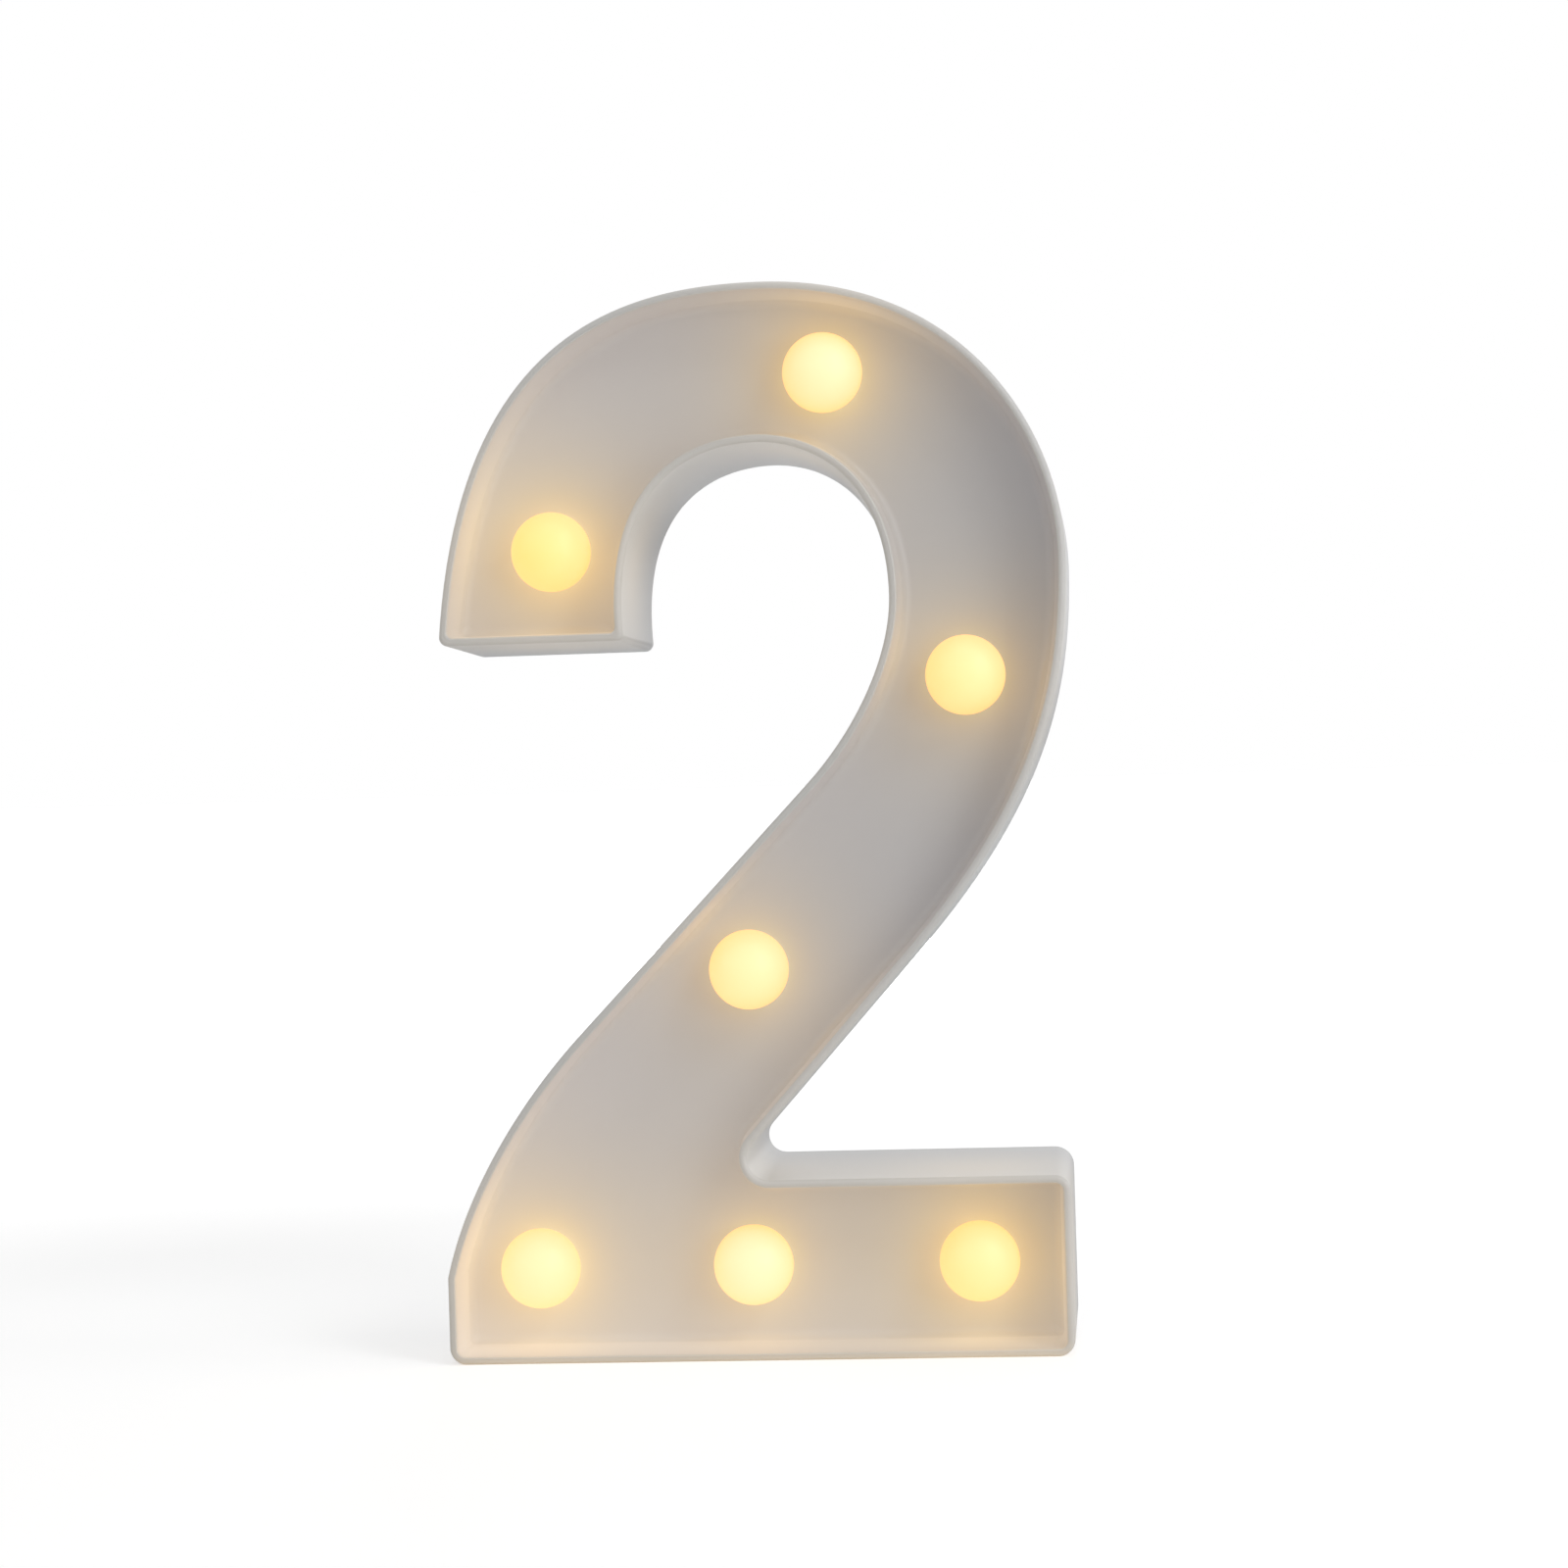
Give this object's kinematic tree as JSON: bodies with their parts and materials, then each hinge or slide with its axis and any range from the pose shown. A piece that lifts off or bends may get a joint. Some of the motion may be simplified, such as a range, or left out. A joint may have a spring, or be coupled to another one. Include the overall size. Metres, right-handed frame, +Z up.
{
  "type": "led letter light",
  "caption": "Battery light shaped as a large numeral, with frosted bulbs in a recessed face, a screwed back cover, a hinged cell door, a slide switch and a hanging hole.",
  "frame": {"origin": "on the surface that the light stands on, under the middle of its bounding box", "axes": "+Z up along the numeral's height, +X to the right of someone facing the lit face, +Y out of the back cover"},
  "size_m": [0.132, 0.044, 0.22],
  "materials": {
    "shell": "smooth off-white moulded plastic, a little glossy",
    "cover": "fine matte off-white moulded plastic",
    "bulb": "frosted translucent plastic, lit warm yellow from inside",
    "cap": "white moulded plastic",
    "diode": "clear pale yellow epoxy",
    "cell": "plain blue sleeve over a metal can",
    "contact": "nickel-plated spring steel",
    "screw": "zinc-plated steel",
    "black_plastic": "black moulded plastic",
    "resistor": "lacquered beige body",
    "red_wire": "red insulation",
    "black_wire": "black insulation"
  },
  "bodies": {
    "light": {"front_shell": "shell", "back_cover": "cover", "bulb_1": "bulb", "bulb_2": "bulb", "bulb_3": "bulb", "bulb_4": "bulb", "bulb_5": "bulb", "bulb_6": "bulb", "bulb_7": "bulb", "diode_cap_1": "cap", "diode_cap_2": "cap", "diode_cap_3": "cap", "diode_cap_4": "cap", "diode_cap_5": "cap", "diode_cap_6": "cap", "diode_cap_7": "cap", "diode_1": "diode", "diode_2": "diode", "diode_3": "diode", "diode_4": "diode", "diode_5": "diode", "diode_6": "diode", "diode_7": "diode", "battery_1": "cell", "battery_2": "cell", "bridge_contact": "contact", "negative_contact": "contact", "positive_contact": "contact", "switch_body": "black_plastic", "switch_screw_1": "screw", "switch_screw_2": "screw", "cover_screw_1": "screw", "cover_screw_2": "screw", "cover_screw_3": "screw", "cover_screw_4": "screw", "cover_screw_5": "screw", "cover_screw_6": "screw", "resistor": "resistor", "supply_wire_red": "red_wire", "switch_wire_red": "red_wire", "string_wire_red": "red_wire", "string_wire_black": "black_wire"},
    "door": {"battery_door": "cover"},
    "switch": {"switch_knob": "black_plastic"}
  },
  "joints": [
    {"name": "door_hinge", "type": "hinge", "parent": "light", "child": "door", "pos_m": [-0.02826, 0.0208, 0.0183], "axis": [0, 0, 1], "range_deg": [0, 90]},
    {"name": "switch_slide", "type": "slide", "parent": "light", "child": "switch", "axis": [1, 0, 0], "range_m": [0, 0.004]}
  ]
}
